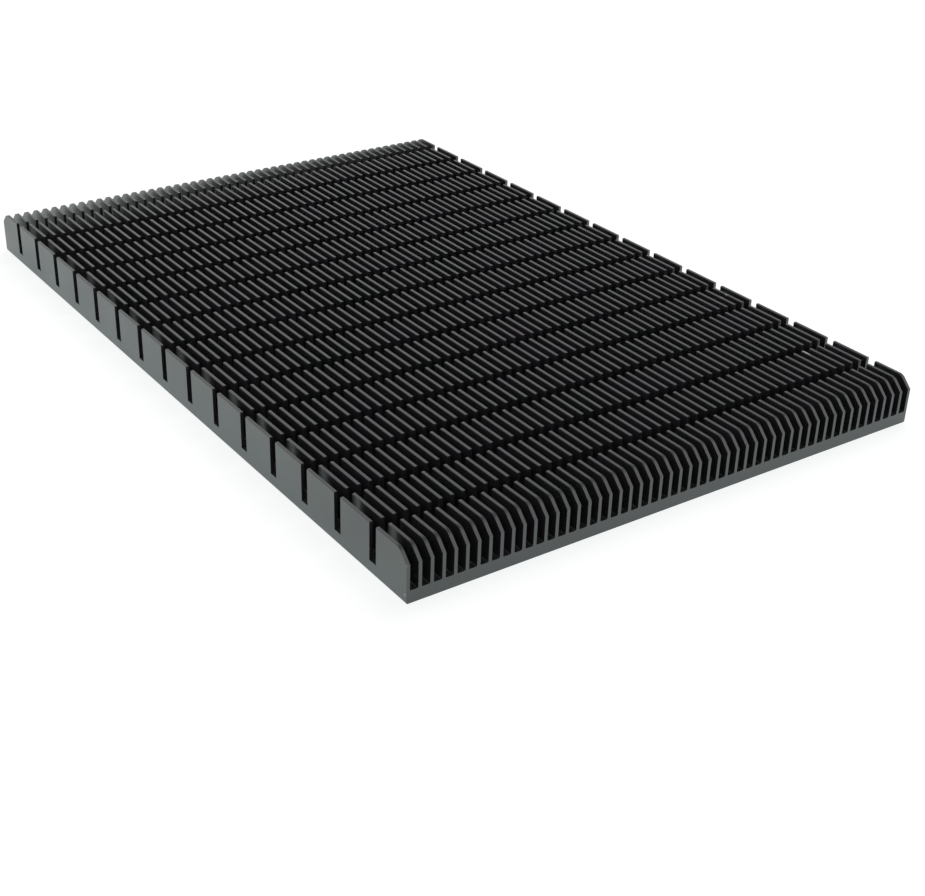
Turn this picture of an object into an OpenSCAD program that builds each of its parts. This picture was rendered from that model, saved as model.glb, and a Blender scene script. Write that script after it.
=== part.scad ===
// Extruded heat sink. One aluminium profile with a comb of thin fins, sawn across
// into rows of pins and milled at both ends.
// The origin is the middle of the underside, +Y runs along the fins and +Z is up.

/* [Overall size] */
// Width across the fins, over the two outer fins
sink_width = 150; // [110:0.5:300]
// Length along the fins
sink_length = 224.5; // [150:0.5:450]
// Height from the underside to the fin tips
sink_height = 12.3; // [8:0.1:40]

/* [Extruded profile] */
// Thickness of the base plate under the fins
base_thickness = 3.1; // [1.5:0.1:5]
// Number of fins, counting the two outer ones
fin_count = 52; // [2:1:60]
// Thickness of each fin
fin_thickness = 0.85; // [0.5:0.05:1.5]
// Radius that the die leaves where a fin meets the base
root_radius = 0.3; // [0.1:0.05:0.6]
// Radius along both edges of each fin tip
tip_radius = 0.15; // [0.05:0.05:0.2]
// Radius along the two lower edges of the base plate
edge_radius = 0.4; // [0.1:0.1:1]

/* [Cross cuts] */
// Number of saw cuts across the fins
cut_count = 15; // [2:1:30]
// Width of each saw cut
cut_width = 2.6; // [1:0.1:4]
// Distance from each end of the sink to the middle of the nearest cut
end_row = 12.9; // [8:0.1:25]
// Depth that the saw runs into the base plate
cut_overrun = 0.1; // [0.05:0.05:0.5]

/* [Fin ends] */
// Size of the 45 degree chamfer at the top of the fin ends
end_chamfer = 3; // [1:0.1:4.5]
// Radius that blends each chamfer into the fin tips
end_blend = 3; // [0.5:0.1:4]

/* [Hidden] */
// Distance that a cutting shape runs past the face that it cuts
clear = 1;
fin_height = sink_height - base_thickness;
fin_pitch = (sink_width - fin_thickness) / (fin_count - 1);
fin_gap = fin_pitch - fin_thickness;
cut_pitch = (sink_length - 2 * end_row) / (cut_count - 1);
cut_floor = base_thickness - cut_overrun;
// Distance from the corner of a 135 degree edge to where its blend begins
blend_reach = end_blend * tan(22.5);
$fn = 48;

// Section of the space between two fins, with its lower left corner at the origin.
// It flares out at the top, where it rounds the tips of the fins on either side.
module gap_section() {
    shoulder = fin_height - tip_radius;
    difference() {
        polygon([
            [root_radius, 0], [fin_gap - root_radius, 0],
            [fin_gap, root_radius], [fin_gap, shoulder],
            [fin_gap + tip_radius, fin_height], [fin_gap + tip_radius, fin_height + clear],
            [-tip_radius, fin_height + clear], [-tip_radius, fin_height],
            [0, shoulder], [0, root_radius]
        ]);
        for (x = [-tip_radius, fin_gap + tip_radius])
            translate([x, shoulder]) circle(r = tip_radius);
    }
    for (x = [root_radius, fin_gap - root_radius])
        translate([x, root_radius]) circle(r = root_radius);
}

// What rounding takes off a lower left corner, with that corner at the origin
module edge_section(radius) {
    difference() {
        translate([-clear, -clear]) square(clear + radius);
        translate([radius, radius]) circle(r = radius);
    }
}

// Section of the extrusion across the fins: a plate less the gaps and the outer edges
module comb_section() {
    difference() {
        translate([-sink_width / 2, 0]) square([sink_width, sink_height]);
        for (i = [0 : fin_count - 2])
            translate([-sink_width / 2 + fin_thickness + i * fin_pitch, base_thickness])
                gap_section();
        for (side = [0, 1])
            mirror([side, 0]) translate([-sink_width / 2, 0]) {
                edge_section(edge_radius);
                translate([0, sink_height]) mirror([0, 1]) edge_section(tip_radius);
            }
    }
}

// What the end mill takes off one fin end, seen from the side with that end at y = 0
module end_section() {
    blend_y = end_chamfer + blend_reach;
    slope_y = end_chamfer - blend_reach * cos(45);
    difference() {
        polygon([
            [-clear, sink_height - end_chamfer - clear],
            [slope_y, sink_height - end_chamfer + slope_y],
            [blend_y, sink_height],
            [blend_y, sink_height + clear],
            [-clear, sink_height + clear]
        ]);
        translate([blend_y, sink_height - end_blend]) circle(r = end_blend);
    }
}

// Side view of the machined extrusion, along the fins
module side_section() {
    difference() {
        translate([-sink_length / 2, 0]) square([sink_length, sink_height]);
        for (i = [0 : cut_count - 1])
            translate([-sink_length / 2 + end_row + i * cut_pitch - cut_width / 2, cut_floor])
                square([cut_width, sink_height]);
        for (side = [0, 1])
            mirror([side, 0]) translate([-sink_length / 2, 0]) end_section();
    }
}

// The comb as it leaves the die, running along Y
module extrusion() {
    translate([0, sink_length / 2, 0]) rotate([90, 0, 0])
        linear_extrude(height = sink_length) comb_section();
}

// What the saw and the end mill leave, running along X
module machined_side() {
    translate([-sink_width / 2, 0, 0]) rotate([90, 0, 90])
        linear_extrude(height = sink_width) side_section();
}

module heat_sink() {
    color("dimgray")
        intersection() {
            extrusion();
            machined_side();
        }
}

heat_sink();
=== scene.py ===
# %% [markdown]
# # A black anodised heat sink
# This file dresses an extruded aluminium heat sink. The solid comes from a CAD
# model, so its shape is already true: a thin plate that carries a comb of fins,
# sawn across into rows of pins. What is left for Blender is how it looks, which
# is a black anodised skin, a few nicks, a table, some light and a camera.
# Everything is in metres. The origin is the middle of the underside, +Y runs
# along the fins and +Z is up.

# %% Load the solid
import math

import bpy
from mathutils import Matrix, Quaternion, Vector


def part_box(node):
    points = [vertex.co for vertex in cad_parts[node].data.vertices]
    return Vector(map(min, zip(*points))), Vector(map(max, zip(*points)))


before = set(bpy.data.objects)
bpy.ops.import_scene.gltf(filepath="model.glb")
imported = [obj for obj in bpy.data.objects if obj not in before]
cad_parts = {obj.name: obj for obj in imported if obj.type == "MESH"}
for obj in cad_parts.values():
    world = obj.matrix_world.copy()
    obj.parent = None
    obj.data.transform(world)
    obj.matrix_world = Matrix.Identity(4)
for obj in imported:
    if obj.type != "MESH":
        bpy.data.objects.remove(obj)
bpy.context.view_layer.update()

MM = 0.001
sink_low, sink_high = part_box("heat_sink")
sink_size = sink_high - sink_low
print("sink in mm:", [round(side / MM, 2) for side in sink_size])

# %% [markdown]
# ## The camera
# A camera can be placed by hand in the viewport, but numbers are easier to
# repeat. It stands off one corner of the sink and is described by the compass
# direction it looks in, how far it looks down and a small tilt of the horizon.
# A 60 mm lens keeps the far rows of pins from shrinking too fast.

# %% Place the camera
VIEW_AZIMUTH = math.radians(35.73)  # from +Y towards +X
VIEW_DOWN = math.radians(28.99)
VIEW_ROLL = math.radians(1.87)
CAMERA_PLACE = Vector((-217.4, -328.0, 179.9)) * MM
FOCAL_LENGTH = 60.0  # this and the sensor are in millimetres, as Blender has them
SENSOR_WIDTH = 36
CLIP_START = 0.01
CLIP_END = 20


def place_camera():
    """Makes the scene's camera from its place, its two angles and its roll."""
    level = math.cos(VIEW_DOWN)
    ahead = Vector((
        math.sin(VIEW_AZIMUTH) * level,
        math.cos(VIEW_AZIMUTH) * level,
        -math.sin(VIEW_DOWN),
    ))
    camera = bpy.data.objects.new("camera", bpy.data.cameras.new("camera"))
    camera.data.lens = FOCAL_LENGTH
    camera.data.sensor_width = SENSOR_WIDTH
    camera.data.clip_start = CLIP_START
    camera.data.clip_end = CLIP_END
    camera.location = CAMERA_PLACE
    camera.rotation_mode = "QUATERNION"
    roll = Quaternion((0, 0, 1), VIEW_ROLL)
    camera.rotation_quaternion = ahead.to_track_quat("-Z", "Y") @ roll
    bpy.context.scene.collection.objects.link(camera)
    bpy.context.scene.camera = camera
    return camera


camera = place_camera()
distance = (camera.location - (sink_low + sink_high) / 2).length
print("camera is", round(distance / MM), "mm from the middle of the sink")

# %% [markdown]
# ## Small helpers for shader nodes
# A material is a network of nodes. Writing every node by hand is long, so a few
# short functions add a node and join it up. Values that hold for the whole
# surface stay on the shader's own sockets, and only what varies gets a node.

# %% Node helpers
def start_material(name):
    """An empty material: its node tree and its output node."""
    material = bpy.data.materials.new(name)
    material.use_nodes = True
    tree = material.node_tree
    tree.nodes.clear()
    return material, tree, tree.nodes.new("ShaderNodeOutputMaterial")


def add_node(tree, kind, settings=(), **inputs):
    """Adds a node. A value sets an input, and another node's socket is linked to it."""
    node = tree.nodes.new("ShaderNode" + kind)
    for key, value in dict(settings).items():
        setattr(node, key, value)
    for key, value in inputs.items():
        place = int(key[1:]) if key[0] == "n" and key[1:].isdigit() else key.replace("_", " ")
        socket = node.inputs[place]
        if isinstance(value, bpy.types.NodeSocket):
            tree.links.new(value, socket)
        else:
            socket.default_value = value
    return node


def maths(tree, operation, *values):
    """The result of one sum on numbers or sockets."""
    inputs = {f"n{place}": value for place, value in enumerate(values)}
    return add_node(tree, "Math", {"operation": operation}, **inputs).outputs[0]


def fade(tree, value, start, end, low, high):
    """Runs from low to high while the value runs from start to end, and holds outside."""
    return add_node(tree, "MapRange", n0=value, n1=start, n2=end, n3=low, n4=high).outputs[0]


print("helpers ready")

# %% [markdown]
# ## The table
# The sink lies on a plain white sheet. A sheet lit until it burns out would
# flood the sink with light too. Here it glows for the camera and for reflections
# only, so it looks white and shows as white in the skin of the sink, while it
# still takes the sink's shadow. In reflections it has a breath of green, which
# tints the outer faces of the sink and not its tips. It lies a hair below the
# sink, because two faces in the same plane flicker in a render.

# %% Lay the white sheet
SHEET_SIDE = 6.0
SHEET_DROP = 0.02 * MM
SHEET_COLOR = (0.31, 0.265, 0.265, 1)
SHEET_GLOW = 0.87
GLOW_TINT = (0.97, 1.0, 1.0, 1)
MIRRORED_TINT = (0.86, 1.0, 0.975, 1)


def dress_sheet():
    """White board that glows for the camera and in reflections."""
    material, tree, output = start_material("white_sheet")
    matt = add_node(tree, "BsdfDiffuse", Color=SHEET_COLOR)
    path = tree.nodes.new("ShaderNodeLightPath").outputs
    seen = maths(tree, "ADD", path["Is Camera Ray"], path["Is Transmission Ray"])
    seen = maths(tree, "ADD", seen, path["Is Glossy Ray"])
    tint = add_node(
        tree, "Mix", {"data_type": "RGBA"}, n0=path["Is Glossy Ray"], n6=GLOW_TINT, n7=MIRRORED_TINT
    )
    strength = maths(tree, "MULTIPLY", seen, SHEET_GLOW)
    glow = add_node(tree, "Emission", Color=tint.outputs[2], Strength=strength)
    both = add_node(tree, "AddShader", n0=matt.outputs[0], n1=glow.outputs[0])
    tree.links.new(both.outputs[0], output.inputs["Surface"])
    return material


def lay_sheet():
    """The white sheet, as one large square just under the sink."""
    half = SHEET_SIDE / 2
    corners = [(-half, -half, 0), (half, -half, 0), (half, half, 0), (-half, half, 0)]
    mesh = bpy.data.meshes.new("white_sheet")
    mesh.from_pydata(corners, [], [(0, 1, 2, 3)])
    sheet = bpy.data.objects.new("white_sheet", mesh)
    sheet.location.z = sink_low.z - SHEET_DROP
    sheet.data.materials.append(dress_sheet())
    bpy.context.scene.collection.objects.link(sheet)
    return sheet


sheet = lay_sheet()
print("sheet is", SHEET_SIDE, "m square, at z in mm:", round(sheet.location.z / MM, 3))

# %% [markdown]
# ## The room in three parts
# The room round the sink is white. A picture of a room could be wrapped round
# the scene, but a few sums on the direction of a ray do as well and can be read.
# The camera sees plain white. Reflections see walls that are white on the near
# side, almost white on the far side and dimmer to the left and right and
# overhead, which keeps the tips from washing out. Matt surfaces get more light
# from behind the sink than from in front of it, so the near ends of the pins
# stay dark.

# %% Light the room
ROOM_WHITE = (1, 1, 1, 1)
MIRRORED_WALL = 0.9
DIM_SIDE = 0.5
SIDE_FADE = (0.5, 1.0)  # from dim side to far wall, as a direction turns to +Y
DIM_CEILING = 0.2
CEILING_FADE = (0.72, 0.95)  # from wall to dim ceiling, as a direction turns to +Z
BACK_LIGHT = 0.55
FRONT_LIGHT = 0.2
LIGHT_FADE = 0.6  # front light up to minus this along +Y, back light from plus this


def wall_brightness(tree, way):
    """How bright the room looks in a reflection that leaves in a given direction."""
    walls = fade(tree, way["Y"], *SIDE_FADE, DIM_SIDE, MIRRORED_WALL)
    near_side = maths(tree, "LESS_THAN", way["Y"], 0.0)
    ceiling = fade(tree, way["Z"], *CEILING_FADE, 1.0, DIM_CEILING)
    return maths(tree, "MULTIPLY", maths(tree, "MAXIMUM", walls, near_side), ceiling)


def light_room():
    """A white room: full white to the camera, and a softer source of light."""
    world = bpy.data.worlds.new("white_room")
    world.use_nodes = True
    tree = world.node_tree
    tree.nodes.clear()
    path = tree.nodes.new("ShaderNodeLightPath").outputs
    direction = tree.nodes.new("ShaderNodeTexCoord").outputs["Generated"]
    way = add_node(tree, "SeparateXYZ", n0=direction).outputs
    mirrored = maths(tree, "MULTIPLY", path["Is Glossy Ray"], wall_brightness(tree, way))
    shown = maths(tree, "ADD", mirrored, path["Is Camera Ray"])
    shown = maths(tree, "ADD", shown, path["Is Transmission Ray"])
    from_behind = fade(tree, way["Y"], -LIGHT_FADE, LIGHT_FADE, FRONT_LIGHT, BACK_LIGHT)
    spread = maths(tree, "MULTIPLY", path["Is Diffuse Ray"], from_behind)
    strength = maths(tree, "ADD", shown, spread)
    background = add_node(tree, "Background", Color=ROOM_WHITE, Strength=strength)
    output = tree.nodes.new("ShaderNodeOutputWorld")
    tree.links.new(background.outputs[0], output.inputs["Surface"])
    bpy.context.scene.world = world
    return world


bpy.context.scene.view_settings.view_transform = "Standard"
room = light_room()
print("room has", len(room.node_tree.nodes), "nodes")

# %% [markdown]
# ## One soft lamp
# The room alone gives flat light. A wide lamp behind the sink and to its right
# lights the fin tips, leaves the walls that face left in the dark and lets a
# faint shadow fall to the left. A large square is softer than a point. It is
# hidden from reflections, where the white room already does the work.

# %% Hang the lamp
LAMP_SIDE = 0.9
LAMP_WATTS = 6.0
LAMP_PLACE = Vector((0.55, 0.45, 0.85))


def hang_lamp():
    """A square area lamp that faces the sink."""
    lamp = bpy.data.objects.new("soft_lamp", bpy.data.lights.new("soft_lamp", "AREA"))
    lamp.data.shape = "SQUARE"
    lamp.data.size = LAMP_SIDE
    lamp.data.energy = LAMP_WATTS
    lamp.visible_glossy = False
    lamp.location = LAMP_PLACE
    lamp.rotation_mode = "QUATERNION"
    lamp.rotation_quaternion = (-LAMP_PLACE).to_track_quat("-Z", "Y")
    bpy.context.scene.collection.objects.link(lamp)
    return lamp


lamp = hang_lamp()
print("lamp gives", lamp.data.energy, "W")

# %% [markdown]
# ## Black anodising
# Anodising grows a thin glassy oxide on the aluminium, and a dye turns it black,
# so the surface is not bare metal to the eye: it is a dark matt body under a
# satin skin. Dye takes unevenly, which leaves faint green and purple clouds, and
# the die draws fine lines along the fins. Cloudy noise tints the body and moves
# its gloss a little, as a fine grain does, and noise that is stretched along Y
# makes the die lines.

# %% Noise for the skin
def noise(tree, place, size, detail=2.0, stretch=(1, 1, 1)):
    """Cloudy noise from 0 to 1 whose features are about `size` metres across."""
    scale = tuple(part / size for part in stretch)
    scaled = add_node(tree, "VectorMath", {"operation": "MULTIPLY"}, n0=place, n1=scale)
    cloud = add_node(tree, "TexNoise", Vector=scaled.outputs[0], Scale=1.0, Detail=detail)
    return cloud.outputs["Fac"]


def between(tree, cloud, low, high):
    """Spreads cloudy noise, which seldom leaves 0.3 to 0.7, over the range from low to high."""
    return fade(tree, cloud, 0.3, 0.7, low, high)


def mix_colors(tree, fac, first, second):
    """A blend of two colours."""
    mixed = add_node(tree, "Mix", {"data_type": "RGBA"}, n0=fac, n6=first, n7=second)
    return mixed.outputs[2]


print("noise ready")

# %% [markdown]
# ## Nicks, pale pin ends and painted glints
# Anodising is hard but thin, and knocks in a drawer leave nicks that show as
# pale metal. The far end of each pin's tip is made paler in patches, just before
# the saw cut behind it. These pale ends repeat with the saw cuts, so they come
# from the place along the fins, modulo the distance between two cuts. The nicks
# are few, so each is a small stretched ball with a ragged edge at its own place,
# kept in a short list with its reach in millimetres and how far it has worn
# through, from 0 to 1. The same list holds two painted glints at the front
# corner: metal specks that stand in for the light that the sharp corner and the
# foot of its chamfer catch.

# %% Burrs and nicks
CUT_COUNT = 15
CUT_WIDTH = 2.6 * MM
END_ROW = 12.9 * MM
FIN_COUNT = 52
FIN_THICKNESS = 0.85 * MM
PALE_END_LENGTH = 0.7 * MM
PALE_END_DEPTH = 0.5 * MM
cut_pitch = (sink_size.y - 2 * END_ROW) / (CUT_COUNT - 1)
fin_pitch = (sink_size.x - FIN_THICKNESS) / (FIN_COUNT - 1)


def on_tip(fin, across, along):
    """A place on the tip of a fin.

    Fins are numbered from 1 at the left, across runs from 0 to 1 over the tip from left to
    right, and along is in millimetres from the middle of the sink.
    """
    left = sink_low.x + (fin - 1) * fin_pitch
    return Vector((left + across * FIN_THICKNESS, along * MM, sink_high.z))


front_corner = Vector((sink_low.x, sink_low.y, 0))
NICKS_AND_GLINTS = [
    (on_tip(48, 0.6, -87.6), (0.30, 1.30, 0.25), 1.0),
    (on_tip(50, 0.9, -50.0), (0.30, 0.50, 0.30), 0.9),
    (on_tip(51, 0.0, -49.2), (0.30, 0.45, 0.40), 0.8),
    (on_tip(45, 0.9, 15.7), (0.30, 0.40, 0.40), 0.8),
    # The last two are painted glints, not nicks: metal specks that stand in for the light caught by
    # the sharp front corner and the foot of its chamfer.
    (front_corner + Vector((0, 0.5, 2.1)) * MM, (0.30, 0.28, 0.38), 0.45),
    (front_corner + Vector((0.1, 0.1, 9.3)) * MM, (0.25, 0.28, 0.32), 0.2),
]
NICK_AND_GLINT_FADE = (0.9, 1.2)  # where the edge of each nick and painted glint fades out, in parts of its reach


# The far end of each pin's tip is made paler, in patches.
def pale_end_mask(tree, place):
    """The last part of every pin's tip before the saw cut behind it."""
    parts = add_node(tree, "SeparateXYZ", n0=place).outputs
    start = sink_low.y + END_ROW + CUT_WIDTH / 2
    row = maths(tree, "DIVIDE", maths(tree, "SUBTRACT", parts["Y"], start), cut_pitch)
    along = maths(tree, "FRACT", row)
    pin_end = 1 - CUT_WIDTH / cut_pitch
    near_end = fade(tree, along, pin_end - PALE_END_LENGTH / cut_pitch, pin_end, 0.0, 1.0)
    near_tip = fade(tree, parts["Z"], sink_high.z - PALE_END_DEPTH, sink_high.z, 0.0, 1.0)
    return maths(tree, "MULTIPLY", near_end, near_tip)


def nick_and_glint_mask(tree, place, rough_edge):
    """How far the nicks have worn through, and how strong the painted glints are, at each place: 0
    outside them all.
    """
    mask = None
    for spot, reach, depth in NICKS_AND_GLINTS:
        offset = add_node(tree, "VectorMath", {"operation": "SUBTRACT"}, n0=place, n1=spot)
        size = tuple(side * MM for side in reach)
        ball = add_node(tree, "VectorMath", {"operation": "DIVIDE"}, n0=offset.outputs[0], n1=size)
        length = add_node(tree, "VectorMath", {"operation": "LENGTH"}, n0=ball.outputs[0])
        ragged = maths(tree, "ADD", length.outputs["Value"], rough_edge)
        inside = fade(tree, ragged, *NICK_AND_GLINT_FADE, depth, 0.0)
        mask = inside if mask is None else maths(tree, "MAXIMUM", mask, inside)
    return mask


print("nicks:", len(NICKS_AND_GLINTS), "cut pitch in mm:", round(cut_pitch / MM, 3))

# %% [markdown]
# ## Put the skin together
# One shader does for both the dyed oxide and the metal under it. The nicks, the
# pale pin ends and the painted glints at the front corner all change the colour.
# In a nick and in a painted glint the surface is true metal as well, and a little
# rougher, so these also drive the metal and roughness sockets. The pale pin ends
# only change the colour. The die lines and the grain are so shallow that a
# bump, which only tilts the light, does for them, and no shape is changed.

# %% Mix the anodised skin
GREENISH_BLACK = (0.028, 0.032, 0.031, 1)
PURPLISH_BLACK = (0.034, 0.029, 0.037, 1)
BARE_METAL = (0.62, 0.64, 0.65, 1)
SKIN_IOR = 1.85
CLOUD_SIZE = 14 * MM
GRAIN_SIZE = 0.35 * MM
DIE_LINE_WIDTH = 0.25 * MM
DIE_LINE_STRETCH = 0.012  # of the pace across the fins, so a line is about 20 mm long
DIE_LINE_DETAIL = 1.0
CLOUDY_ROUGHNESS = (0.25, 0.31)
GRAIN_ROUGHNESS = 0.06
NICK_AND_GLINT_ROUGHNESS = 0.1
NICK_AND_GLINT_RAGGEDNESS = (-0.3, 0.4)  # what the grain adds to the distance, in parts of the reach
PALE_END_STRENGTH = 0.2
SKIN_RELIEF = 0.01 * MM
RELIEF_STRENGTH = 0.6
DIE_LINE_SHARE = 0.6  # of the relief, and the grain has the rest


def skin_relief(tree, lines, grain):
    """A bump from the die lines and the grain."""
    line_height = maths(tree, "MULTIPLY", lines, DIE_LINE_SHARE)
    grain_height = maths(tree, "MULTIPLY", grain, 1 - DIE_LINE_SHARE)
    height = maths(tree, "ADD", line_height, grain_height)
    bump = add_node(tree, "Bump", Strength=RELIEF_STRENGTH, Distance=SKIN_RELIEF, Height=height)
    return bump.outputs[0]


def mix_skin():
    """The black anodised material, with its nicks, pale pin ends and painted glints."""
    material, tree, output = start_material("black_anodised_aluminium")
    place = tree.nodes.new("ShaderNodeTexCoord").outputs["Object"]
    clouds = noise(tree, place, CLOUD_SIZE)
    lines = noise(tree, place, DIE_LINE_WIDTH, DIE_LINE_DETAIL, (1, DIE_LINE_STRETCH, 1))
    grain = noise(tree, place, GRAIN_SIZE)
    nicks_and_glints = nick_and_glint_mask(tree, place, between(tree, grain, *NICK_AND_GLINT_RAGGEDNESS))
    patchy = between(tree, grain, 0.0, PALE_END_STRENGTH)
    pale_ends = maths(tree, "MULTIPLY", pale_end_mask(tree, place), patchy)
    # nicks and pale pin ends, with the painted glints at the front corner
    pale_marks = maths(tree, "MAXIMUM", nicks_and_glints, pale_ends)
    dyed = mix_colors(tree, between(tree, clouds, 0.0, 1.0), GREENISH_BLACK, PURPLISH_BLACK)
    cloudy = between(tree, clouds, *CLOUDY_ROUGHNESS)
    satin = maths(tree, "ADD", cloudy, between(tree, grain, 0.0, GRAIN_ROUGHNESS))
    shader = add_node(
        tree, "BsdfPrincipled",
        Base_Color=mix_colors(tree, pale_marks, dyed, BARE_METAL),
        Roughness=maths(tree, "MULTIPLY_ADD", nicks_and_glints, NICK_AND_GLINT_ROUGHNESS, satin),
        Metallic=nicks_and_glints,
        IOR=SKIN_IOR,
        Normal=skin_relief(tree, lines, grain),
    )
    tree.links.new(shader.outputs[0], output.inputs["Surface"])
    return material


skin = mix_skin()
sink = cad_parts["heat_sink"]
sink.data.materials.clear()
sink.data.materials.append(skin)
print("skin has", len(skin.node_tree.nodes), "nodes")
